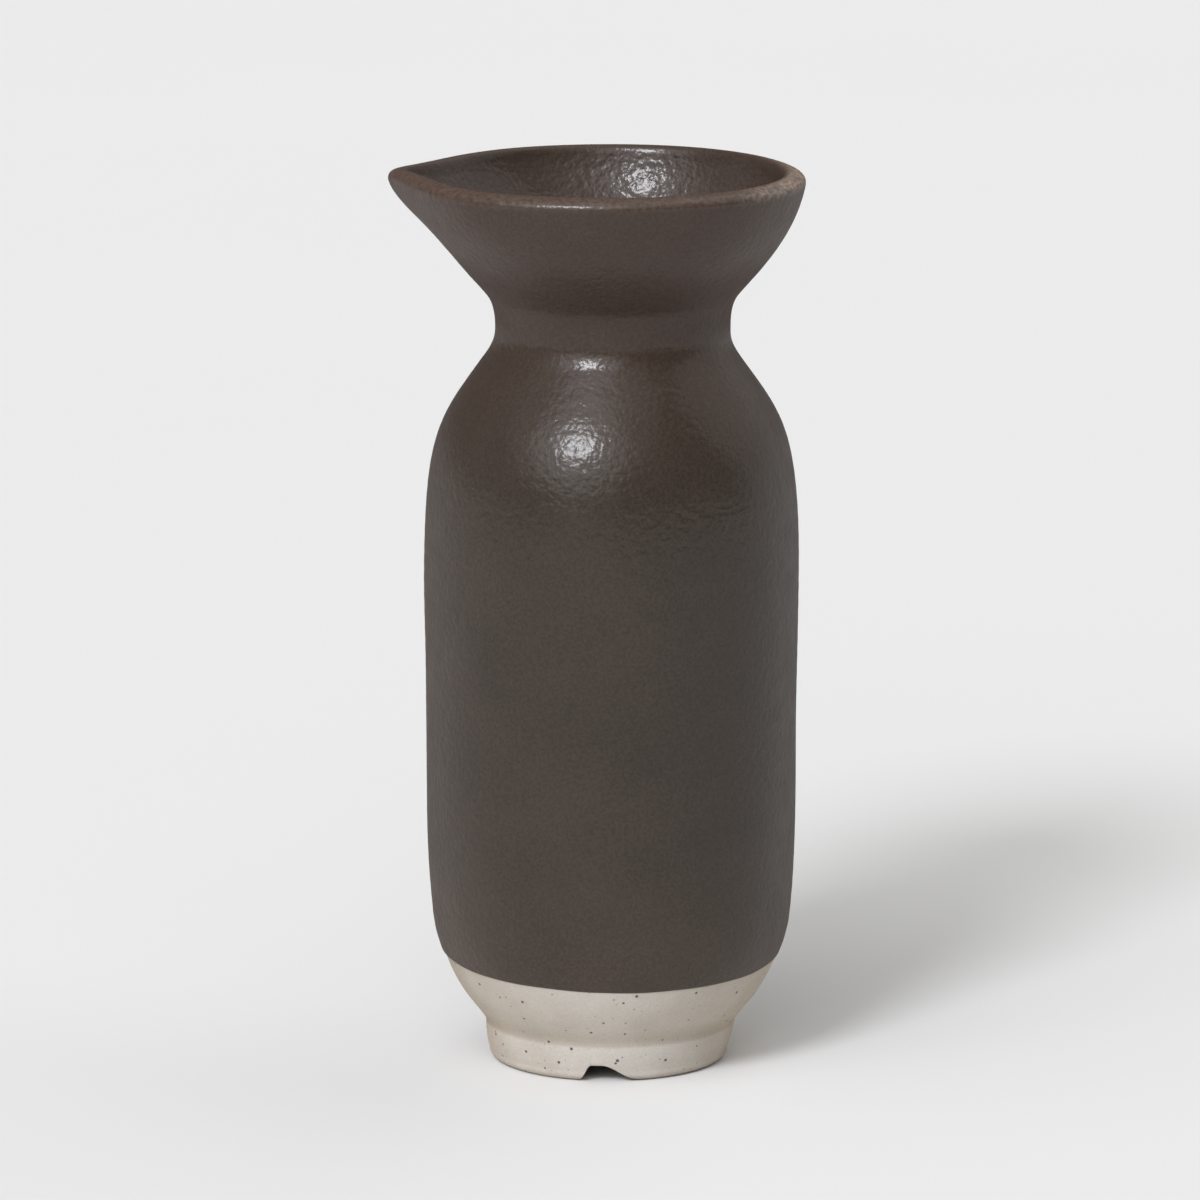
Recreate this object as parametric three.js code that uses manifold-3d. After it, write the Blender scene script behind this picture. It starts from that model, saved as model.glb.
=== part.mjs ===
// A hand-thrown stoneware sake bottle: a notched foot ring, a belly with its floor and shoulder, a neck,
// and a flared mouth pulled out into a pouring lip, with a dark glaze outside and another coat of it inside.
// Millimetres, +Z up. It stands on Z = 0, its lip points to -X and the foot's notch faces the front, -Y.
import * as THREE from "three";
import { mergeVertices } from "three/addons/utils/BufferGeometryUtils.js";
import Module from "manifold-3d";

const wasm = await Module();
wasm.setup();

// Driving dimensions
const SIDES = 48; // facets round the turned axis
const WALL = 4.8; // clay and both coats of glaze together
const COAT = 0.5; // one coat of glaze
const GAP = 0.3; // air left between neighbouring pieces

const FOOT_LOW_RADIUS = 24; // where the ring's wall runs into its rounded lower edge
const FOOT_INNER_RADIUS = 19.6;
const FOOT_OUTER_ROUND = [2.6, 2]; // that rounding's width and height
const FOOT_INNER_ROUND = 0.8; // and the one inside, as high as wide
const FOOT_BULGE = [24.9, 4.8]; // [radius, height] that the ring's outer wall swells towards

const NOTCH_HEIGHT = 3.5;
const NOTCH_HALF_WIDTH = 6; // where it meets the table
const NOTCH_TOP = [-2.9, 0.7]; // its level top, nearer to the steep end than to the sloping one
const NOTCH_TURN = 4.5; // degrees from the front, towards +X

const FLOOR_TOP = 11.4; // height of the bottle's inner floor
const CROWN_RISES = [2, 2.25]; // how far both walls run on to the crown's two corners
const CROWN_TIGHTNESS = [0.72, 0.8]; // how tightly they turn there: 1 is square

const LIP_REACH = 6.75; // how far a sharp lip's outside would stand proud of the round rim
const LIP_THINNING = 1.3; // how much further its inside is pulled
const LIP_FOOT = 162.5; // height where the pull begins
const LIP_TOP = 179; // and where it is full
const LIP_SPREAD = 1.8; // the share of the pull that spreads wide to both sides of the lip
const LIP_SPREAD_ANGLE = 64; // degrees, to where half of that share is left
const LIP_SPREAD_POWER = 8; // and how suddenly it fades there
const LIP_POINT_ANGLE = 10.8; // degrees, to where the lip's narrow point has mostly faded
const LIP_POINT_POWER = 1.3; // power of that fade: less leaves a sharper point
const LIP_POINT_SOFTNESS = 1.5; // degrees that round the point off

// The outside from the foot's crease to the rim, as curves that run into each other.
// Each holds its four [radius, height] control points.
const BASE = [[25.05, 7.35], [24.6, 8.95], [30.4, 13.2], [33.3, 20.6]]; // bare clay, up to the glaze line
const HIP = [[33.3, 20.6], [34.6, 23.4], [35.6, 26.5], [35.9, 30.0]];
const BELLY = [[35.9, 30.0], [37.4, 45.6], [36.7, 55.5], [37.3, 91.0]];
const SHOULDER = [[37.3, 91.0], [38.0, 128.8], [34.8, 129.5], [25.1, 143.4]];
const NECK = [[25.1, 143.4], [23.1, 146.4], [23.4, 147.9], [23.4, 149.5]];
const COLLAR = [[23.4, 149.5], [23.4, 151.5], [23.8, 154.1], [25.1, 155.7]];
const MOUTH = [[25.1, 155.7], [28.4, 159.8], [36.1, 166.5], [38.4, 177.6]];
// The rest of the inner floor's curve, from where the inside of the wall ends to the axis
const FLOOR = [[30.3, 20.0], [24.0, FLOOR_TOP], [0, FLOOR_TOP]];

const [FOOT_TOP_RADIUS, FOOT_HEIGHT] = BASE[0]; // the crease where the foot ring meets the base
const RIM_RADIUS = MOUTH[3][0];

const CLAY_COLOUR = 0xbeb7ae;
const GLAZE_COLOUR = 0x4a413b;

const along = (from, direction, distance) => from.clone().addScaledVector(direction, distance);

// Even steps of a curve, each as a place and the unit normal that points out of the wall, into the air.
function surface(controls, steps) {
  const [a, b, c, d] = controls.map(([radius, height]) => new THREE.Vector2(radius, height));
  const curve = new THREE.CubicBezierCurve(a, b, c, d);
  return Array.from({ length: steps + 1 }, (_, i) => {
    const tangent = curve.getTangent(i / steps);
    return { place: curve.getPoint(i / steps), normal: new THREE.Vector2(tangent.y, -tangent.x) };
  });
}

// Joins stretches that share their end points into one.
function chain(...stretches) {
  return stretches.flatMap((stretch, i) => (i === 0 ? stretch : stretch.slice(1)));
}

// The inside of the wall behind a stretch of the outside, running the other way.
function behind(stretch) {
  return stretch
    .map(({ place, normal }) => ({ place: along(place, normal, -WALL), normal: normal.clone().negate() }))
    .reverse();
}

// The curve that rounds a corner off between two places.
function rounding(start, corner, end, tightness, steps) {
  const handles = [start, end].map((place) => place.clone().lerp(corner, tightness));
  const controls = [start, ...handles, end];
  return surface(controls.map((place) => place.toArray()), steps);
}

// The rim's crown, from the outside wall to the inside wall: two rounded corners that meet in its middle.
function crownBetween(outer, inner, steps) {
  const up = new THREE.Vector2(-outer.normal.y, outer.normal.x);
  const outerCorner = along(outer.place, up, CROWN_RISES[0]);
  const innerCorner = along(inner.place, up, CROWN_RISES[1]);
  const middle = outerCorner.clone().lerp(innerCorner, 0.5);
  const [outerTightness, innerTightness] = CROWN_TIGHTNESS;
  return chain(
    rounding(outer.place, outerCorner, middle, outerTightness, steps),
    rounding(middle, innerCorner, inner.place, innerTightness, steps),
  );
}

// The bottle's whole surface, stretch by stretch
const base = surface(BASE, 4);
const lowerOutside = chain(surface(HIP, 2), surface(BELLY, 2), surface(SHOULDER, 5));
const neckOutside = chain(surface(NECK, 2), surface(COLLAR, 2));
const mouthOutside = surface(MOUTH, 5);
const mouthInside = behind(mouthOutside);
const neckInside = behind(neckOutside);
const shoulderInside = behind(chain(surface(BELLY, 2), surface(SHOULDER, 5)));
const floor = surface([shoulderInside.at(-1).place.toArray(), ...FLOOR], 4);
const crown = crownBetween(mouthOutside.at(-1), mouthInside[0], 4);

// A stretch's places, pushed into the wall by a depth.
const atDepth = (stretch, depth) => stretch.map(({ place, normal }) => along(place, normal, -depth));

// The same line with its first and last places drawn in along it.
function trimmed(line, atStart, atEnd) {
  const towards = (from, to) => to.clone().sub(from).normalize();
  const start = along(line[0], towards(line[0], line[1]), atStart);
  const end = along(line.at(-1), towards(line.at(-1), line.at(-2)), atEnd);
  return [start, ...line.slice(1, -1), end];
}

const closed = (outline) => [...outline, outline[0].clone()];

// The round mouth's outside radius at a height.
function mouthRadiusAt(height) {
  const above = mouthOutside.findIndex(({ place }) => place.y > height);
  if (above < 1) return RIM_RADIUS;
  const low = mouthOutside[above - 1].place;
  const high = mouthOutside[above].place;
  return THREE.MathUtils.mapLinear(height, low.y, high.y, low.x, high.x);
}

// Pulls the rim out into the pouring lip: most at the crown, and to a point straight towards -X.
function pullLip(geometry) {
  const position = geometry.attributes.position;
  for (let i = 0; i < position.count; i++) {
    const x = position.getX(i);
    const y = position.getY(i);
    const radius = Math.hypot(x, y);
    const turn = THREE.MathUtils.radToDeg(Math.abs(Math.atan2(y, -x)));
    const rise = THREE.MathUtils.smoothstep(position.getZ(i), LIP_FOOT, LIP_TOP);
    const spread = LIP_SPREAD / (1 + (turn / LIP_SPREAD_ANGLE) ** LIP_SPREAD_POWER);
    const fromPoint = Math.hypot(turn, LIP_POINT_SOFTNESS) / LIP_POINT_ANGLE;
    const point = Math.exp(-(fromPoint ** LIP_POINT_POWER));
    const inward = THREE.MathUtils.clamp((mouthRadiusAt(position.getZ(i)) - radius) / WALL, 0, 1);
    const pull = rise * (spread + (LIP_REACH - LIP_SPREAD + LIP_THINNING * inward) * point);
    const stretch = pull === 0 ? 1 : 1 + pull / radius;
    position.setXY(i, x * stretch, y * stretch);
  }
}

// A lathe splits its four-cornered facets along one diagonal, which turns over where the outline falls.
// This splits every facet from its upper corner on one side to its lower corner on the other, so that
// neighbouring coats stay parallel in the pulled lip.
function splitFacetsAlike(geometry) {
  const height = (vertex) => geometry.attributes.position.getZ(vertex);
  const index = geometry.index.array;
  for (let facet = 0; facet < index.length; facet += 6) {
    const [start, across, next, farNext] = index.slice(facet, facet + 4);
    if (height(next) < height(start)) index.set([start, across, farNext, farNext, next, start], facet);
  }
}

function turnedGeometry(outline) {
  const geometry = new THREE.LatheGeometry(outline, SIDES);
  geometry.rotateX(Math.PI / 2);
  splitFacetsAlike(geometry);
  pullLip(geometry);
  return geometry;
}

function piece(name, geometry, material) {
  const mesh = new THREE.Mesh(geometry, material);
  mesh.name = name;
  return mesh;
}

const matt = (color) => new THREE.MeshStandardMaterial({ color, roughness: 0.9, metalness: 0 });
const satin = (color) => new THREE.MeshStandardMaterial({ color, roughness: 0.35, metalness: 0 });

function toSolid(geometry) {
  geometry.deleteAttribute("normal");
  geometry.deleteAttribute("uv");
  const merged = mergeVertices(geometry, 1e-3);
  const mesh = new wasm.Mesh({
    numProp: 3,
    vertProperties: merged.attributes.position.array,
    triVerts: new Uint32Array(merged.index.array),
  });
  return new wasm.Manifold(mesh);
}

function toGeometry(solid) {
  const mesh = solid.getMesh();
  const geometry = new THREE.BufferGeometry();
  geometry.setAttribute("position", new THREE.BufferAttribute(mesh.vertProperties, 3));
  geometry.setIndex(new THREE.BufferAttribute(mesh.triVerts, 1));
  geometry.computeVertexNormals();
  return geometry;
}

// The foot ring's section: a flat to stand on between two rounded edges, and an outer wall that swells.
function footRingGeometry() {
  const top = FOOT_HEIGHT - GAP;
  const [roundWidth, roundHeight] = FOOT_OUTER_ROUND;
  const section = new THREE.Path();
  section.moveTo(FOOT_INNER_RADIUS, top);
  section.lineTo(FOOT_INNER_RADIUS, FOOT_INNER_ROUND);
  section.quadraticCurveTo(FOOT_INNER_RADIUS, 0, FOOT_INNER_RADIUS + FOOT_INNER_ROUND, 0);
  section.lineTo(FOOT_LOW_RADIUS - roundWidth, 0);
  section.quadraticCurveTo(FOOT_LOW_RADIUS, 0, FOOT_LOW_RADIUS, roundHeight);
  section.quadraticCurveTo(...FOOT_BULGE, FOOT_TOP_RADIUS, top);
  return turnedGeometry(closed(section.getPoints(3)));
}

// The notch as a bar across the ring's front: steep at one end, a long slope at the other.
function notchGeometry() {
  const below = -1;
  const [steepTop, slopeTop] = NOTCH_TOP;
  const outline = new THREE.Shape();
  outline.moveTo(-NOTCH_HALF_WIDTH, below);
  outline.lineTo(-NOTCH_HALF_WIDTH, 0);
  outline.quadraticCurveTo((steepTop - NOTCH_HALF_WIDTH) / 2, NOTCH_HEIGHT, steepTop, NOTCH_HEIGHT);
  outline.lineTo(slopeTop, NOTCH_HEIGHT);
  outline.quadraticCurveTo((slopeTop + NOTCH_HALF_WIDTH) / 2, NOTCH_HEIGHT, NOTCH_HALF_WIDTH, 0);
  outline.lineTo(NOTCH_HALF_WIDTH, below);
  const settings = { depth: FOOT_TOP_RADIUS, bevelEnabled: false, curveSegments: 4 };
  const bar = new THREE.ExtrudeGeometry(outline, settings);
  bar.rotateX(Math.PI / 2);
  bar.translate(0, -FOOT_INNER_RADIUS / 2, 0);
  bar.rotateZ(THREE.MathUtils.degToRad(NOTCH_TURN));
  return bar;
}

function footRing() {
  const cut = toSolid(footRingGeometry()).subtract(toSolid(notchGeometry()));
  return piece("foot_ring", toGeometry(cut), matt(CLAY_COLOUR));
}

// Bare clay at its full radius up to the glaze line, then set back under the two coats.
function bodyShell() {
  const bare = trimmed(atDepth(base, 0), 0, GAP);
  const step = bare.at(-1).clone().addScaledVector(base.at(-1).normal, -COAT - GAP);
  const outside = trimmed(atDepth(lowerOutside, COAT + GAP), 0, GAP / 2);
  const inside = trimmed(atDepth(chain(shoulderInside, floor), COAT + GAP), GAP / 2, 0);
  const outline = [new THREE.Vector2(0, FOOT_HEIGHT), ...bare, step, ...outside, ...inside];
  outline.at(-1).x = 0;
  return piece("body_shell", turnedGeometry(outline), matt(CLAY_COLOUR));
}

function neckCollar() {
  const outside = trimmed(atDepth(neckOutside, COAT + GAP), GAP / 2, GAP / 2);
  const inside = trimmed(atDepth(neckInside, COAT + GAP), GAP / 2, GAP / 2);
  return piece("neck_collar", turnedGeometry(closed([...outside, ...inside])), matt(CLAY_COLOUR));
}

function mouthFunnel() {
  const line = atDepth(chain(mouthOutside, crown, mouthInside), COAT + GAP);
  return piece("mouth_funnel", turnedGeometry(closed(trimmed(line, GAP / 2, GAP / 2))), matt(CLAY_COLOUR));
}

// One coat of glaze over a stretch of the surface.
function coat(stretch, trimStart) {
  const face = trimmed(atDepth(stretch, 0), trimStart, 0);
  const back = trimmed(atDepth(stretch, COAT), trimStart, 0).reverse();
  return [...face, ...back];
}

function outerGlaze() {
  const outline = coat(chain(lowerOutside, neckOutside, mouthOutside, crown), 0);
  return piece("outer_glaze", turnedGeometry(closed(outline)), satin(GLAZE_COLOUR));
}

function linerGlaze() {
  const outline = coat(chain(mouthInside, neckInside, shoulderInside, floor), GAP);
  return piece("liner_glaze", turnedGeometry(closed(outline)), satin(GLAZE_COLOUR));
}

const bottle = new THREE.Group();
bottle.add(footRing(), bodyShell(), neckCollar(), mouthFunnel(), outerGlaze(), linerGlaze());

// The lip makes the bottle longer to one side of its axis, so the origin goes under the middle of both.
const reach = new THREE.Box3().setFromObject(bottle);
bottle.position.x = -(reach.min.x + reach.max.x) / 2;

export default bottle;
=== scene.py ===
# The looks of a hand-thrown stoneware sake bottle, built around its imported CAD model.
# Outlines are worked out in millimetres, as (radius, height) round the turned axis. Every mesh is in metres.
import math

import bmesh
import bpy
import numpy as np
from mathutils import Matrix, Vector


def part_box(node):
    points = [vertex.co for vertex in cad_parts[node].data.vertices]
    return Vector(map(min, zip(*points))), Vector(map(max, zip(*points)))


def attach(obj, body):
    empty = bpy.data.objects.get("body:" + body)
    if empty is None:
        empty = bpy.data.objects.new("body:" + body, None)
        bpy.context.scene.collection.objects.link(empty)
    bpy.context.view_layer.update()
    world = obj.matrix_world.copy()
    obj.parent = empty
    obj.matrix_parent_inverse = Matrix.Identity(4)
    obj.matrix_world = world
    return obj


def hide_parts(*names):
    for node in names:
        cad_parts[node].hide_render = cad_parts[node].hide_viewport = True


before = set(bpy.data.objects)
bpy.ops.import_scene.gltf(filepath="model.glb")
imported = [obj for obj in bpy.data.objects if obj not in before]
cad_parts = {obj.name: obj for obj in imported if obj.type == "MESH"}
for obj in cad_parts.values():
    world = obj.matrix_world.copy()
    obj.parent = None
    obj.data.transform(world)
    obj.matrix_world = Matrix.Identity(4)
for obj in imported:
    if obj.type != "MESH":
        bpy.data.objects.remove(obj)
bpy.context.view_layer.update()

MM = 0.001

# Driving dimensions of the CAD model, in millimetres
WALL = 4.8
COAT = 0.5
CLAY_DEPTH = 0.8
CROWN_RISES = (2.0, 2.25)
CROWN_TIGHTNESS = (0.72, 0.80)
FLOOR_TOP = 11.4
FOOT_LOW_RADIUS = 24.0
FOOT_INNER_RADIUS = 19.6
FOOT_OUTER_ROUND = (2.6, 2.0)
FOOT_BULGE = (24.9, 4.8)
FOOT_INNER_ROUND = 0.8
NOTCH_TURN = 4.5
LIP_REACH = 6.75
LIP_THINNING = 1.3
LIP_FOOT = 162.5
LIP_TOP = 179.0
LIP_SPREAD = 1.8
LIP_SPREAD_ANGLE = 64.0
LIP_SPREAD_POWER = 8.0
LIP_POINT_ANGLE = 10.8
LIP_POINT_POWER = 1.3
LIP_POINT_SOFTNESS = 1.5

# The notch's two ends, each from its low place to its top, its height and how soft its edges are
NOTCH_STEEP_END = (-5.7, -2.9)
NOTCH_SLOPING_END = (8.4, -0.9)
NOTCH_HEIGHT = 3.4
NOTCH_SOFTNESS = 0.6

# Keeps the round rim inside the faceted one
RIM_INSET = 0.06

# The outside from the foot's crease to the rim, as curves that run into each other
BASE = [(25.05, 7.35), (24.6, 8.95), (30.4, 13.2), (33.3, 20.6)]
HIP = [(33.3, 20.6), (34.6, 23.4), (35.6, 26.5), (35.9, 30.0)]
BELLY = [(35.9, 30.0), (37.4, 45.6), (36.7, 55.5), (37.3, 91.0)]
SHOULDER = [(37.3, 91.0), (38.0, 128.8), (34.8, 129.5), (25.1, 143.4)]
NECK = [(25.1, 143.4), (23.1, 146.4), (23.4, 147.9), (23.4, 149.5)]
COLLAR = [(23.4, 149.5), (23.4, 151.5), (23.8, 154.1), (25.1, 155.7)]
MOUTH = [(25.1, 155.7), (28.4, 159.8), (36.1, 166.5), (38.4, 177.6)]
FLOOR = [(30.3, 20.0), (24.0, FLOOR_TOP), (0.0, FLOOR_TOP)]

FOOT_TOP_RADIUS, FOOT_HEIGHT = BASE[0]
GLAZE_LINE = BASE[3]

foot_low, foot_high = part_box("foot_ring")
AXIS_X = (foot_low.x + foot_high.x) / 2 / MM

# Step along an outline, and how far its kinks are rounded: on the outside, then on the whole line
OUTLINE_STEP = 0.05
OUTSIDE_SOFTENING = 0.45
WHOLE_SOFTENING = 0.25

# The gap between the clay pieces, the outer coat's lower edge, and its lap over the liner
CLAY_GAP = 0.3
EDGE_THICKNESS = 0.34
EDGE_LENGTH = 0.7
LAP_BELOW_CROWN = 7.0
LAP_LENGTH = 3.0

# How far the liner stays below the lap, and how much of the coat's lower edge the bare clay covers
LINER_CLEARANCE = 0.02
EDGE_OVERLAP = 0.06

# The dip line's lean, the side where it is lowest, and how far above it the surface still follows it
DIP_LEAN = 1.9
DIP_LOWEST = math.radians(290)
DIP_REACH = 14.0

# How far the turned axis is out of line, as (height, shift)
DRIFT = [(0, -0.72), (3, -0.68), (7.5, -0.3), (12, -0.2), (20, -0.14), (60, -0.2), (100, -0.1), (125, 0.0),
         (142, 0.0), (149, 0.22), (156, 0.1), (165, 0.02), (180, 0.0)]

ROUND_STEPS = 360
FOOT_ROUND_STEPS = 900
UNDERSIDE_STEPS = 60
SHARP_ANGLE = math.radians(38)


# ---------------------------------------------------------------- outlines

def bezier(controls, count=400):
    t = np.linspace(0, 1, count)[:, None]
    weights = [(1 - t) ** 3, 3 * t * (1 - t) ** 2, 3 * t * t * (1 - t), t ** 3]
    return sum(weight * np.array(point) for weight, point in zip(weights, controls))


def joined(*lines):
    return np.concatenate([line[:-1] for line in lines[:-1]] + [lines[-1]])


def lengths_along(line):
    return np.concatenate([[0.0], np.cumsum(np.hypot(*np.diff(line, axis=0).T))])


def even(line, step=OUTLINE_STEP):
    """The same line in steps of one length."""
    along = lengths_along(line)
    places = np.linspace(0, along[-1], int(along[-1] / step) + 1)
    return np.stack([np.interp(places, along, line[:, i]) for i in (0, 1)], axis=1)


def softened(line, width):
    """The same line with its small kinks rounded off, and its two ends where they were."""
    line = even(line)
    reach = int(4 * width / OUTLINE_STEP)
    kernel = np.exp(-0.5 * (np.arange(-reach, reach + 1) * OUTLINE_STEP / width) ** 2)
    kernel /= kernel.sum()
    longer = np.pad(line, ((reach, reach), (0, 0)), mode="reflect", reflect_type="odd")
    return np.stack([np.convolve(longer[:, i], kernel, "valid") for i in (0, 1)], axis=1)


def normals_of(line):
    tangent = np.gradient(line, axis=0)
    tangent /= np.hypot(*tangent.T)[:, None]
    return np.stack([tangent[:, 1], -tangent[:, 0]], axis=1)


class Outline:
    """A line of (radius, height) points with the air on its right, read by the distance along it."""

    def __init__(self, line):
        self.line = line
        self.normals = normals_of(line)
        self.along = lengths_along(line)

    def at(self, distance, depth=0.0):
        """(radius, height) at a distance along the line and a depth below it."""
        read = [np.interp(distance, self.along, column) for column in (*self.line.T, *self.normals.T)]
        return read[0] - depth * read[2], read[1] - depth * read[3]

    def nearest(self, point):
        return self.along[np.hypot(*(self.line - point).T).argmin()]


def whole_surface():
    """The outside from the crease to the rim, over the crown and down the inside to the floor's middle."""
    curves = [bezier(controls) for controls in (BASE, HIP, BELLY, SHOULDER, NECK, COLLAR, MOUTH)]
    outside = softened(joined(*curves), OUTSIDE_SOFTENING)
    wall_start = np.hypot(*(outside - BELLY[0]).T).argmin()
    normals = normals_of(outside)
    inside = (outside - WALL * normals)[wall_start:][::-1]
    up = np.array([-normals[-1][1], normals[-1][0]])
    corners = [end + rise * up for end, rise in zip((outside[-1], inside[0]), CROWN_RISES)]
    middle = (corners[0] + corners[1]) / 2
    outer_round, inner_round = [
        bezier([end, end + tightness * (corner - end), middle + tightness * (corner - middle), middle])
        for end, corner, tightness in zip((outside[-1], inside[0]), corners, CROWN_TIGHTNESS)
    ]
    crown = joined(outer_round, inner_round[::-1])
    floor = bezier([inside[-1], *FLOOR])
    return Outline(softened(joined(outside, crown, inside, floor), WHOLE_SOFTENING))


surface = whole_surface()

# Places along the surface, as distances from the crease
CROWN_AT = surface.along[surface.line[:, 1].argmax()]
LINE_AT = surface.nearest(GLAZE_LINE)
BODY_TOP_AT = surface.nearest(SHOULDER[3])
NECK_LOW_AT = surface.nearest((26.5, 141.5))
MOUTH_LOW_AT = surface.nearest(MOUTH[0])
MOUTH_TOP_AT = surface.nearest(MOUTH[3])
LAP_AT = CROWN_AT + LAP_BELOW_CROWN
FLOOR_AT = surface.along[-1]


# ---------------------------------------------------------------- the hand-made form

def smoothstep(value, low, high):
    t = np.clip((value - low) / (high - low), 0, 1)
    return t * t * (3 - 2 * t)


def mouth_radius_at(height):
    mouth = surface.line[(surface.along > MOUTH_LOW_AT) & (surface.along < MOUTH_TOP_AT)]
    return np.interp(height, mouth[:, 1], mouth[:, 0])


def angle_from_lip(turn):
    return np.abs(np.angle(np.exp(1j * (turn - math.pi))))


def lip_pull(radius, height, turn):
    """How far the mouth is pulled out: a broad spread to both sides of the lip, and its narrow point."""
    from_lip = np.degrees(angle_from_lip(turn))
    rise = smoothstep(height, LIP_FOOT, LIP_TOP)
    spread = LIP_SPREAD / (1 + (from_lip / LIP_SPREAD_ANGLE) ** LIP_SPREAD_POWER)
    point = np.exp(-((np.hypot(from_lip, LIP_POINT_SOFTNESS) / LIP_POINT_ANGLE) ** LIP_POINT_POWER))
    inward = np.clip((mouth_radius_at(height) - radius) / WALL, 0, 1)
    return rise * (spread + (LIP_REACH - LIP_SPREAD + LIP_THINNING * inward) * point)


def drift(height):
    """How far the turned axis wanders sideways on its way up."""
    heights, shifts = zip(*DRIFT)
    return np.interp(height, heights, shifts)


def relief(radius, height, turn):
    """What the potter's hands left: faint turned rings up the wall and a belly that isn't quite round."""
    wall = smoothstep(height, 8, 30) * (1 - smoothstep(height, 158, 172))
    rings = np.sin(2 * math.pi * height / 3.4 - turn + 0.8 * np.sin(height / 9.0))
    rings *= 0.012 + 0.008 * np.sin(height / 13.0 + 2 * turn)
    out_of_round = 0.06 * np.sin(2 * turn + 0.7 + height / 70) + 0.035 * np.sin(3 * turn + height / 31)
    waves = 0.03 * np.sin(height / 7.3 + 1.1) + 0.02 * np.sin(height / 4.1 + turn)
    return wall * (rings + out_of_round + waves)


def uneven_crown(height, turn):
    """How much lower the rim lies here and there."""
    tilt = 0.12 * (1 + np.cos(turn))
    droop = 0.27 * np.exp(-((angle_from_lip(turn) / math.radians(72)) ** 4))
    waves = 0.03 * (1 + np.sin(3 * turn + 1.0)) + 0.02 * (1 + np.sin(5 * turn + 0.3))
    return (0.03 + tilt + droop + waves) * smoothstep(height, 168, 180)


def placed(radius, height, turn):
    """Points in metres for places round the turned axis."""
    radius = radius + lip_pull(radius, height, turn) + relief(radius, height, turn)
    radius = radius - RIM_INSET * smoothstep(height, 168, 177)
    x = AXIS_X + radius * np.cos(turn) + drift(height)
    y = radius * np.sin(turn)
    z = height - uneven_crown(height, turn)
    return np.stack(np.broadcast_arrays(x, y, z), axis=-1) * MM


def glaze_line_lift(turn):
    """How far the glaze line is above its lowest place: the bottle was dipped at a slight lean."""
    wobble = 0.10 * np.sin(3 * turn + 0.4) + 0.05 * np.sin(7 * turn + 1.9) + 0.03 * np.sin(16 * turn)
    return DIP_LEAN * (1 - np.cos(turn - DIP_LOWEST)) + wobble - 0.2


def lifted(distance, turn):
    """Distances along the surface, moved so that the glaze line follows the dip."""
    share = np.clip((LINE_AT + DIP_REACH - distance) / DIP_REACH, 0, 1)
    below = np.clip(distance / LINE_AT, 0, 1)
    return distance + glaze_line_lift(turn) * share * below


# ---------------------------------------------------------------- meshes

def turns(steps):
    return np.arange(steps) * 2 * math.pi / steps


def ring_faces(rows, columns, closed):
    """Four-cornered faces of a grid that runs round its columns, and round its rows too if it is closed."""
    row = np.arange(rows if closed else rows - 1)[:, None]
    column = np.arange(columns)[None, :]
    nearby, onward = row * columns, (row + 1) % rows * columns
    after = (column + 1) % columns
    corners = [nearby + column, nearby + after, onward + after, onward + column]
    return np.stack(corners, axis=-1).reshape(-1, 4).tolist()


def grid_mesh(name, points, closed, attributes=None):
    """A closed body from rows of points round the axis. An open grid's end rows each close on a point."""
    rows, columns, _ = points.shape
    vertices = points.reshape(-1, 3)
    faces = ring_faces(rows, columns, closed)
    if not closed:
        first, last = points[0].mean(0), points[-1].mean(0)
        vertices = np.concatenate([vertices, [first, last]])
        count, top = rows * columns, (rows - 1) * columns
        for i in range(columns):
            after = (i + 1) % columns
            faces.append([count, after, i])
            faces.append([count + 1, top + i, top + after])
    mesh = bpy.data.meshes.new(name)
    mesh.from_pydata(vertices.tolist(), [], faces)
    for attribute, values in (attributes or {}).items():
        filled = np.zeros(len(vertices), np.float32)
        filled[:rows * columns] = np.broadcast_to(values, (rows, columns)).ravel()
        mesh.attributes.new(attribute, "FLOAT", "POINT").data.foreach_set("value", filled)
    turn_faces_out(mesh)
    mesh.shade_smooth()
    mesh.set_sharp_from_angle(angle=SHARP_ANGLE)
    return mesh


def turn_faces_out(mesh):
    edit = bmesh.new()
    edit.from_mesh(mesh)
    bmesh.ops.recalc_face_normals(edit, faces=edit.faces)
    edit.to_mesh(mesh)
    edit.free()


def add_piece(name, mesh, material, slot, *nodes):
    mesh.materials.append(material)
    piece = bpy.data.objects.new(name, mesh)
    bpy.context.scene.collection.objects.link(piece)
    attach(piece, "root")
    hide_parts(*nodes)
    return piece


def steps_between(*stops):
    """Distances from (place, step) stops: each step is used from its place to the next one's."""
    parts = []
    for (start, step), (end, _) in zip(stops, stops[1:]):
        count = max(1, round(abs(end - start) / step))
        parts.append(np.linspace(start, end, count, endpoint=False))
    return np.concatenate([*parts, [stops[-1][0]]])


def crown_nearness(distance):
    """1 on the rim's land, from its highest place down to its outer edge, fading past both."""
    return np.exp(-(((distance - CROWN_AT + 1.9) / 2.3) ** 4))


def inside_share(distance):
    """0 outside and on the crown, rising to 1 down the inside."""
    return smoothstep(distance, CROWN_AT + 1, CROWN_AT + 5)


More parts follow.
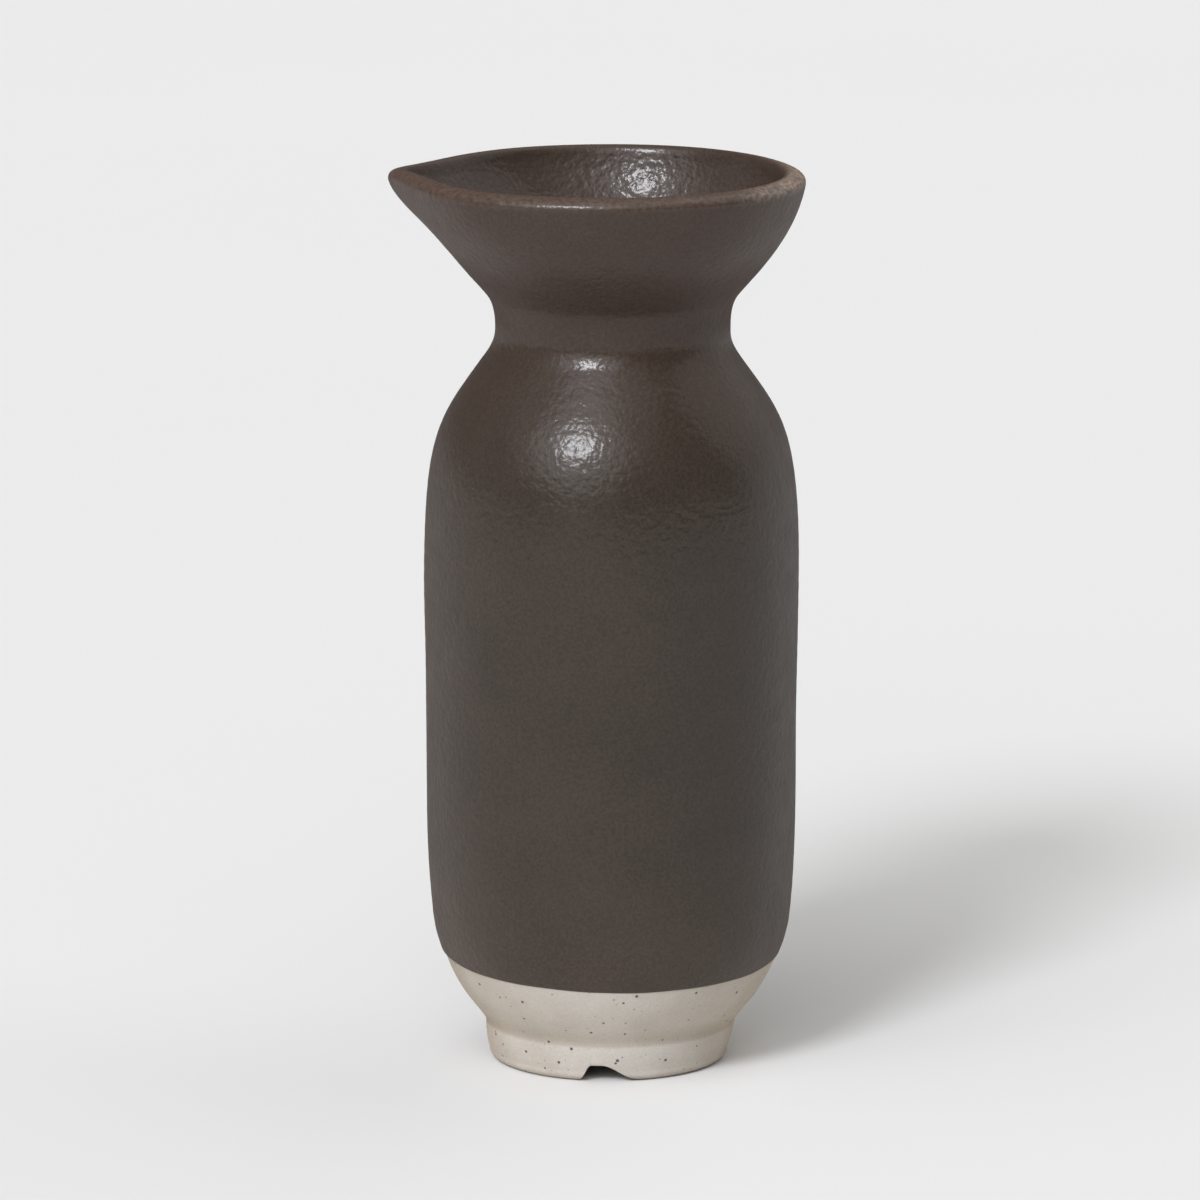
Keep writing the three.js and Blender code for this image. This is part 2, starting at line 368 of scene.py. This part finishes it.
def outer_glaze(material):
    turn = turns(ROUND_STEPS)
    quarter = np.linspace(0, math.pi / 2, 7)
    edge = LINE_AT + EDGE_LENGTH * (1 - np.cos(quarter))
    edge_depth = EDGE_THICKNESS * (1 - np.sin(quarter))
    start = LINE_AT + EDGE_LENGTH + 0.3
    face = steps_between((start, 1.1), (NECK_LOW_AT, 0.5), (MOUTH_LOW_AT, 0.9),
                         (MOUTH_TOP_AT - 2, 0.3), (CROWN_AT + 4, 0.45), (LAP_AT, 1))
    back = steps_between((LAP_AT - 0.4, 0.8), (LAP_AT - LAP_LENGTH, 1.5),
                         (MOUTH_TOP_AT, 4.5), (LINE_AT + 0.5, 1))
    back_depth = COAT * smoothstep(LAP_AT - back, 0, LAP_LENGTH)
    distance = np.concatenate([edge, face, back])[:, None]
    depth = np.concatenate([edge_depth, np.zeros(len(face)), back_depth])[:, None]
    radius, height = surface.at(lifted(distance, turn), depth)
    marks = {
        "crown": crown_nearness(distance),
        "edge": 1 - smoothstep(distance, LINE_AT, LINE_AT + 1.2),
        "inside": inside_share(distance),
    }
    mesh = grid_mesh("outer_glaze_coat", placed(radius, height, turn), True, marks)
    return add_piece("outer_glaze_coat", mesh, material, "brown_glaze", "outer_glaze")


def liner_glaze(material):
    turn = turns(ROUND_STEPS)
    lap = LAP_AT - LAP_LENGTH
    face = steps_between((lap, 0.4), (LAP_AT + 1, 0.9), (LAP_AT + 26, 0.6),
                         (LAP_AT + 42, 1.8), (FLOOR_AT - 0.5, 1))
    back = steps_between((FLOOR_AT - 0.5, 5), (lap, 1))
    face_depth = (COAT + LINER_CLEARANCE) * smoothstep(LAP_AT - face, 0, LAP_LENGTH)
    distance = np.concatenate([face[::-1], back[::-1]])[:, None]
    depth = np.concatenate([face_depth[::-1], np.full(len(back), COAT + 0.03)])[:, None]
    radius, height = surface.at(distance, depth)
    marks = {"crown": crown_nearness(distance), "edge": np.zeros(1), "inside": inside_share(distance)}
    mesh = grid_mesh("liner_glaze_coat", placed(radius, height, turn), False, marks)
    return add_piece("liner_glaze_coat", mesh, material, "brown_glaze", "liner_glaze")


def body_clay(material):
    turn = turns(ROUND_STEPS)
    bare = steps_between((0, 0.3), (4, 0.5), (LINE_AT + 0.15, 1))
    bare_depth = (EDGE_THICKNESS - EDGE_OVERLAP) * smoothstep(bare, 6, LINE_AT)
    under = steps_between((LINE_AT + 1.2, 5), (BODY_TOP_AT, 1))
    behind_top = surface.nearest(np.array(surface.at(BODY_TOP_AT, WALL)))
    inner = steps_between((behind_top, 5), (FLOOR_AT - 0.5, 1))
    distance = np.concatenate([bare, under, inner])[:, None]
    depth = np.concatenate([bare_depth, np.full(len(under) + len(inner), CLAY_DEPTH)])[:, None]
    radius, height = surface.at(lifted(distance, turn), depth)
    under_radius = np.linspace(0.3, FOOT_TOP_RADIUS - 0.3, UNDERSIDE_STEPS)[:, None]
    under_height = np.full_like(under_radius, FOOT_HEIGHT) + underside_rings(under_radius)
    radius = np.concatenate([np.broadcast_to(under_radius, (UNDERSIDE_STEPS, ROUND_STEPS)), radius])
    height = np.concatenate([np.broadcast_to(under_height, (UNDERSIDE_STEPS, ROUND_STEPS)), height])
    mesh = grid_mesh("body_clay", placed(radius, height, turn), False)
    return add_piece("body_clay", mesh, material, "bare_clay", "body_shell")


def hidden_clay(name, low_at, high_at, material, node):
    """The clay under both coats between two places on the outside, or from the low one over the crown."""
    turn = turns(ROUND_STEPS)
    behind_low = surface.nearest(np.array(surface.at(low_at, WALL)))
    if high_at is None:
        distance = steps_between((low_at, 1.2), (MOUTH_TOP_AT - 2, 0.3),
                                 (CROWN_AT + 4, 1.2), (behind_low, 1))
    else:
        behind_high = surface.nearest(np.array(surface.at(high_at, WALL)))
        outside = steps_between((low_at, 1.2), (high_at, 1))
        distance = np.concatenate([outside, steps_between((behind_high, 1.2), (behind_low, 1))])
    radius, height = surface.at(distance[:, None], CLAY_DEPTH)
    radius = np.broadcast_to(radius, (len(distance), ROUND_STEPS))
    mesh = grid_mesh(name, placed(radius, height, turn), True)
    return add_piece(name, mesh, material, "bare_clay", node)


def underside_rings(radius):
    """The turning tool's shallow rings in the recess under the foot, whose middle hangs a little lower."""
    inside = 1 - smoothstep(radius, FOOT_INNER_RADIUS - 2.2, FOOT_INNER_RADIUS - 1.2)
    rings = 0.05 * (1 - np.cos(2 * math.pi * radius / 2.3))
    sag = 0.25 * (1 - (radius / 20) ** 2)
    return inside * (rings - sag)


def quadratic(start, middle, end, count):
    t = np.linspace(0, 1, count)[:, None]
    return (1 - t) ** 2 * np.array(start) + 2 * t * (1 - t) * np.array(middle) + t * t * np.array(end)


def foot_section():
    """The foot ring's outline from the top of its inner wall, down, and up its outer wall."""
    inner_fillet = quadratic((FOOT_INNER_RADIUS - 1.4, FOOT_HEIGHT), (FOOT_INNER_RADIUS, FOOT_HEIGHT),
                             (FOOT_INNER_RADIUS, FOOT_HEIGHT - 1.6), 8)
    inner_round = quadratic((FOOT_INNER_RADIUS, FOOT_INNER_ROUND), (FOOT_INNER_RADIUS, 0),
                            (FOOT_INNER_RADIUS + FOOT_INNER_ROUND, 0), 7)
    round_width, round_height = FOOT_OUTER_ROUND
    outer_round = quadratic((FOOT_LOW_RADIUS - round_width, 0), (FOOT_LOW_RADIUS, 0),
                            (FOOT_LOW_RADIUS, round_height), 12)
    outer_wall = quadratic((FOOT_LOW_RADIUS, round_height), FOOT_BULGE, (FOOT_TOP_RADIUS, FOOT_HEIGHT), 12)
    return joined(inner_fillet, inner_round, outer_round, outer_wall)


def notch_height(across):
    """The notch's height at a distance across it, or -1 outside it: one end is steep, the other slopes."""
    share = smoothstep(across, *NOTCH_STEEP_END) * smoothstep(across, *NOTCH_SLOPING_END)
    return (NOTCH_HEIGHT + 1) * share - 1


def foot_ring(material):
    turn = turns(FOOT_ROUND_STEPS)
    section = even(foot_section(), 0.22)
    top_radius = np.linspace(FOOT_TOP_RADIUS - 0.4, FOOT_INNER_RADIUS - 1.0, 8)
    top = np.stack([top_radius, np.full_like(top_radius, FOOT_HEIGHT)], axis=1)
    section = np.concatenate([section, top])
    radius = np.broadcast_to(section[:, :1], (len(section), FOOT_ROUND_STEPS))
    height = np.broadcast_to(section[:, 1:], (len(section), FOOT_ROUND_STEPS))
    centre = math.radians(NOTCH_TURN - 90)
    across = radius * np.sin(turn - centre)
    notch = np.where(np.cos(turn - centre) > 0, notch_height(across), -1.0)
    lifted_height = 0.5 * (height + notch + np.hypot(height - notch, NOTCH_SOFTNESS))
    keep = smoothstep(notch, -1.0, 0.0) * (1 - smoothstep(height, 4.2, FOOT_HEIGHT - 0.2))
    height = height + (lifted_height - height) * keep
    mesh = grid_mesh("foot_ring_clay", placed(radius, height, turn), True)
    return add_piece("foot_ring_clay", mesh, material, "bare_clay", "foot_ring")


# ---------------------------------------------------------------- materials

class Graph:
    """A material's nodes. Textures are set out in the bottle's own frame, so they run across its pieces."""

    def __init__(self, name):
        self.material = bpy.data.materials.new(name)
        self.material.use_nodes = True
        self.tree = self.material.node_tree
        self.shader = self.tree.nodes["Principled BSDF"]
        self.place = self.node("ShaderNodeTexCoord").outputs["Object"]

    def node(self, kind, inputs=None, **settings):
        made = self.tree.nodes.new(kind)
        for name, value in settings.items():
            setattr(made, name, value)
        for name, value in (inputs or {}).items():
            self.feed(made.inputs[name], value)
        return made

    def feed(self, socket, value):
        if isinstance(value, bpy.types.NodeSocket):
            self.tree.links.new(value, socket)
        else:
            socket.default_value = value

    def noise(self, scale, detail=2.0, roughness=0.5):
        values = {"Vector": self.place, "Scale": scale, "Detail": detail, "Roughness": roughness}
        return self.node("ShaderNodeTexNoise", values).outputs["Fac"]

    def spots(self, scale, radius, softness, kept):
        """1 on scattered round spots of up to a radius in metres, 0 elsewhere."""
        cells = self.node("ShaderNodeTexVoronoi", {"Vector": self.place, "Scale": scale})
        draw = self.node("ShaderNodeSeparateColor", {"Color": cells.outputs["Color"]})
        size = self.ranged(draw.outputs["Red"], 1 - kept, 1, 0.35 * radius * scale, radius * scale)
        chosen = self.ranged(draw.outputs["Red"], 1 - kept, 1 - kept + 0.01, 0, 1)
        inner = self.times(size, 1 - softness)
        inside = self.ranged(cells.outputs["Distance"], inner, size, 1, 0)
        return self.times(inside, chosen)

    def ranged(self, value, low, high, to_low=0.0, to_high=1.0):
        values = {"Value": value, "From Min": low, "From Max": high, "To Min": to_low, "To Max": to_high}
        return self.node("ShaderNodeMapRange", values).outputs["Result"]

    def patches(self, scale, detail, low=0.0, high=1.0):
        """Soft patches of noise, from one value to another."""
        return self.ranged(self.noise(scale, detail), 0.3, 0.7, low, high)

    def maths(self, operation, first, second):
        made = self.node("ShaderNodeMath", operation=operation)
        self.feed(made.inputs[0], first)
        self.feed(made.inputs[1], second)
        return made.outputs[0]

    def times(self, first, second):
        return self.maths("MULTIPLY", first, second)

    def mix(self, factor, first, second, kind="MIX"):
        made = self.node("ShaderNodeMix", data_type="RGBA", blend_type=kind)
        self.feed(made.inputs[0], factor)
        self.feed(made.inputs[6], first)
        self.feed(made.inputs[7], second)
        return made.outputs[2]

    def tint(self, share, colour, by):
        return self.mix(share, colour, by, "MULTIPLY")

    def grey(self, value):
        return self.node("ShaderNodeCombineColor", {"Red": value, "Green": value, "Blue": value}).outputs[0]

    def mark(self, name):
        """A value that the mesh carries at its points."""
        return self.node("ShaderNodeAttribute", attribute_name=name).outputs["Fac"]

    def place_along(self, axis):
        return self.node("ShaderNodeSeparateXYZ", {"Vector": self.place}).outputs[axis]

    def facing(self):
        """0 where the surface is seen square on, rising to 1 at its outline."""
        return self.node("ShaderNodeLayerWeight", {"Blend": 0.5}).outputs["Facing"]

    def bump(self, height, distance, under=None):
        values = {"Height": height, "Distance": distance, "Strength": 1.0}
        if under is not None:
            values["Normal"] = under
        return self.node("ShaderNodeBump", values).outputs["Normal"]


def rgba(red, green, blue):
    return (red, green, blue, 1.0)


def glaze_colour(graph, facing, height):
    """Dark brown, with a painted reflection of the floor lightening it towards the glaze line, lighter at
    the neck, painted light lifting the shade inside the mouth, a painted warm sheen at grazing angles, and
    paler on the crown, where the glaze thins and its right-hand end carries painted light.
    """
    colour = graph.mix(graph.patches(70, 3), rgba(0.0360, 0.0268, 0.0202), rgba(0.0422, 0.0312, 0.0238))
    grains = graph.ranged(graph.noise(1700, 2), 0.35, 0.65, 0.85, 1.15)
    colour = graph.tint(1.0, colour, graph.grey(grains))
    # Painted reflection: the glaze is lightened towards the bottom, standing in for the bright floor
    # reflected there.
    colour = graph.tint(graph.ranged(height, 0.050, 0.022), colour, rgba(1.24, 1.21, 1.13))
    colour = graph.tint(graph.ranged(height, 0.12, 0.155), colour, rgba(1.22, 1.07, 1.04))
    # Painted light: the inside of the mouth is lightened to lift the shade that falls in it.
    colour = graph.tint(graph.mark("inside"), colour, rgba(1.18, 1.30, 1.42))
    colour = graph.mix(graph.times(graph.mark("edge"), 0.4), colour, rgba(0.034, 0.021, 0.014))
    # The crown is paler where the glaze thins at the rim; its right-hand end, away from the lip, is much
    # paler with painted light where light falls on it.
    crown = graph.times(graph.mark("crown"), graph.ranged(graph.noise(1100, 3), 0.35, 0.65, 0.2, 1.0))
    right_end_painted_light = graph.ranged(graph.place_along("X"), 0.030, 0.039)
    rim_glaze_and_painted_light = graph.mix(right_end_painted_light, rgba(0.098, 0.068, 0.054), rgba(0.31, 0.26, 0.225))
    colour = graph.mix(crown, colour, rim_glaze_and_painted_light)
    # Painted warm sheen: the colour turns redder towards the outline.
    return graph.tint(graph.ranged(facing, 0.3, 0.9), colour, rgba(1.15, 1.0, 0.9))


def glaze_roughness(graph, facing, height):
    """Satin in soft patches, duller round the collar, and duller still at grazing angles on the outside."""
    collar = graph.times(graph.ranged(height, 0.147, 0.151), graph.ranged(height, 0.167, 0.160, 0.0, 0.18))
    satin = graph.maths("ADD", graph.patches(260, 2, 0.19, 0.25), collar)
    outside = graph.maths("SUBTRACT", 1.0, graph.times(graph.mark("inside"), 0.85))
    duller = graph.times(graph.ranged(facing, 0.22, 0.85, 0.0, 0.38), outside)
    return graph.maths("ADD", satin, duller)


def glaze_normal(graph):
    """Orange peel, coarser inside the mouth, with a finer peel and a few pits over it."""
    coarser = graph.ranged(graph.mark("inside"), 0, 1, 1, 1.9)
    peel = graph.bump(graph.times(graph.noise(760, 1.5, 0.45), coarser), 0.125 * MM)
    fine = graph.bump(graph.noise(1500, 1.0), 0.032 * MM, peel)
    return graph.bump(graph.spots(420, 0.16 * MM, 0.7, 0.25), -0.03 * MM, fine)


def glaze_material():
    graph = Graph("satin_brown_glaze")
    facing = graph.facing()
    height = graph.place_along("Z")
    graph.feed(graph.shader.inputs["Base Color"], glaze_colour(graph, facing, height))
    graph.feed(graph.shader.inputs["Roughness"], glaze_roughness(graph, facing, height))
    graph.feed(graph.shader.inputs["Normal"], glaze_normal(graph))
    graph.shader.inputs["IOR"].default_value = 1.45
    graph.shader.inputs["Specular IOR Level"].default_value = 0.42
    return graph.material


def clay_colour(graph):
    """Pale grey-beige, with painted shade at grazing angles and just above the crease, and with smudges and
    iron specks.
    """
    colour = graph.mix(graph.patches(90, 3), rgba(0.475, 0.437, 0.384), rgba(0.546, 0.516, 0.468))
    # Painted shade: darker and browner towards the outline.
    colour = graph.tint(graph.ranged(graph.facing(), 0.15, 0.8), colour, rgba(0.88, 0.81, 0.73))
    height = graph.place_along("Z")
    # Painted shade in a band just above the crease.
    crease_painted_shade = graph.times(graph.ranged(height, 7.1 * MM, 7.8 * MM),
                               graph.ranged(height, 8.2 * MM, 11.5 * MM, 1.0, 0.0))
    colour = graph.tint(crease_painted_shade, colour, rgba(0.86, 0.83, 0.79))
    colour = graph.tint(1.0, colour, graph.grey(graph.patches(2400, 3, 0.93, 1.07)))
    smudges = graph.times(graph.spots(430, 0.6 * MM, 0.9, 0.55), 0.22)
    colour = graph.mix(smudges, colour, rgba(0.16, 0.12, 0.09))
    faint_specks = graph.times(graph.spots(640, 0.27 * MM, 0.6, 0.7), 0.5)
    colour = graph.mix(faint_specks, colour, rgba(0.12, 0.10, 0.085))
    dark_specks = graph.times(graph.spots(430, 0.42 * MM, 0.4, 0.8), 0.92)
    return graph.mix(dark_specks, colour, rgba(0.045, 0.036, 0.030))


def clay_material():
    """Unglazed stoneware, sandy to the touch."""
    graph = Graph("bare_speckled_clay")
    graph.feed(graph.shader.inputs["Base Color"], clay_colour(graph))
    graph.feed(graph.shader.inputs["Roughness"], graph.patches(900, 2, 0.72, 0.88))
    sand = graph.bump(graph.noise(3200, 3, 0.6), 0.012 * MM)
    graph.feed(graph.shader.inputs["Normal"], graph.bump(graph.noise(500, 2), 0.03 * MM, sand))
    return graph.material


def floor_material():
    graph = Graph("pale_floor")
    graph.feed(graph.shader.inputs["Base Color"], graph.grey(graph.patches(3, 2, 0.80, 0.806)))
    graph.shader.inputs["Roughness"].default_value = 0.95
    graph.shader.inputs["Specular IOR Level"].default_value = 0.1
    return graph.material


# ---------------------------------------------------------------- scene

CAMERA_TURN = math.radians(6.0)
CAMERA_RISE = math.radians(11.4)
CAMERA_DISTANCE = 1.8
CAMERA_LENS = 270.0
AIM_HEIGHT = 0.0934
AIM_LEFT = 0.0024
FLOOR_HALF_WIDTH = 8.0

WORLD_STRENGTH = 0.14
# Each light's name, its turn from the front, its rise and width in degrees, its strength and its colour
SUNS = [
    ("key", -20.5, 38, 16, 1.66, (0.98, 0.985, 1.03)),
    ("key_halo", -20.5, 37, 58, 0.98, (0.98, 0.985, 1.03)),
    ("front_left", -22, 50, 90, 0.56, (1.0, 1.0, 0.94)),
    ("left", -75, 25, 60, 0.12, (1.0, 1.0, 1.0)),
    ("top", 0, 88, 60, 0.40, (1.0, 1.0, 0.94)),
    ("back_right", 128, 34, 80, 0.72, (1.0, 0.97, 0.95)),
]


def direction(turn, rise):
    """A unit vector towards a place at a turn from the front and a rise above the horizon, in radians."""
    return np.array([math.sin(turn) * math.cos(rise), -math.cos(turn) * math.cos(rise), math.sin(rise)])


def aim(thing, target):
    towards = (target[0] - thing.location.x, target[1] - thing.location.y, target[2] - thing.location.z)
    thing.rotation_euler = Vector(towards).to_track_quat("-Z", "Y").to_euler()


def add_camera():
    right = np.array([math.cos(CAMERA_TURN), math.sin(CAMERA_TURN), 0.0])
    target = np.array([AXIS_X * MM, 0.0, AIM_HEIGHT]) - AIM_LEFT * right
    data = bpy.data.cameras.new("camera")
    data.lens = CAMERA_LENS
    data.sensor_width = 36.0
    camera = bpy.data.objects.new("camera", data)
    camera.location = target + CAMERA_DISTANCE * direction(CAMERA_TURN, CAMERA_RISE)
    bpy.context.scene.collection.objects.link(camera)
    bpy.context.scene.camera = camera
    aim(camera, target)


def add_floor():
    mesh = bpy.data.meshes.new("floor")
    half = FLOOR_HALF_WIDTH
    corners = [(-half, -half, 0), (half, -half, 0), (half, half, 0), (-half, half, 0)]
    mesh.from_pydata(corners, [], [(0, 1, 2, 3)])
    mesh.materials.append(floor_material())
    floor = bpy.data.objects.new("floor", mesh)
    bpy.context.scene.collection.objects.link(floor)


def add_sun(name, turn, rise, width, strength, colour):
    """A far-away soft light, as wide as its angle in degrees."""
    data = bpy.data.lights.new(name, "SUN")
    data.angle = math.radians(width)
    data.energy = strength
    data.color = colour
    light = bpy.data.objects.new(name, data)
    light.location = direction(math.radians(turn), math.radians(rise))
    bpy.context.scene.collection.objects.link(light)
    aim(light, (0.0, 0.0, 0.0))


def light_scene():
    world = bpy.data.worlds.new("studio")
    world.use_nodes = True
    background = world.node_tree.nodes["Background"]
    background.inputs["Color"].default_value = rgba(1.0, 1.0, 1.0)
    background.inputs["Strength"].default_value = WORLD_STRENGTH
    bpy.context.scene.world = world
    for sun in SUNS:
        add_sun(*sun)
    bpy.context.scene.view_settings.view_transform = "Standard"


clay = clay_material()
glaze = glaze_material()
add_camera()
light_scene()
add_floor()
outer_glaze(glaze)
liner_glaze(glaze)
body_clay(clay)
foot_ring(clay)
hidden_clay("neck_clay", BODY_TOP_AT + CLAY_GAP, MOUTH_LOW_AT, clay, "neck_collar")
hidden_clay("mouth_clay", MOUTH_LOW_AT + CLAY_GAP, None, clay, "mouth_funnel")
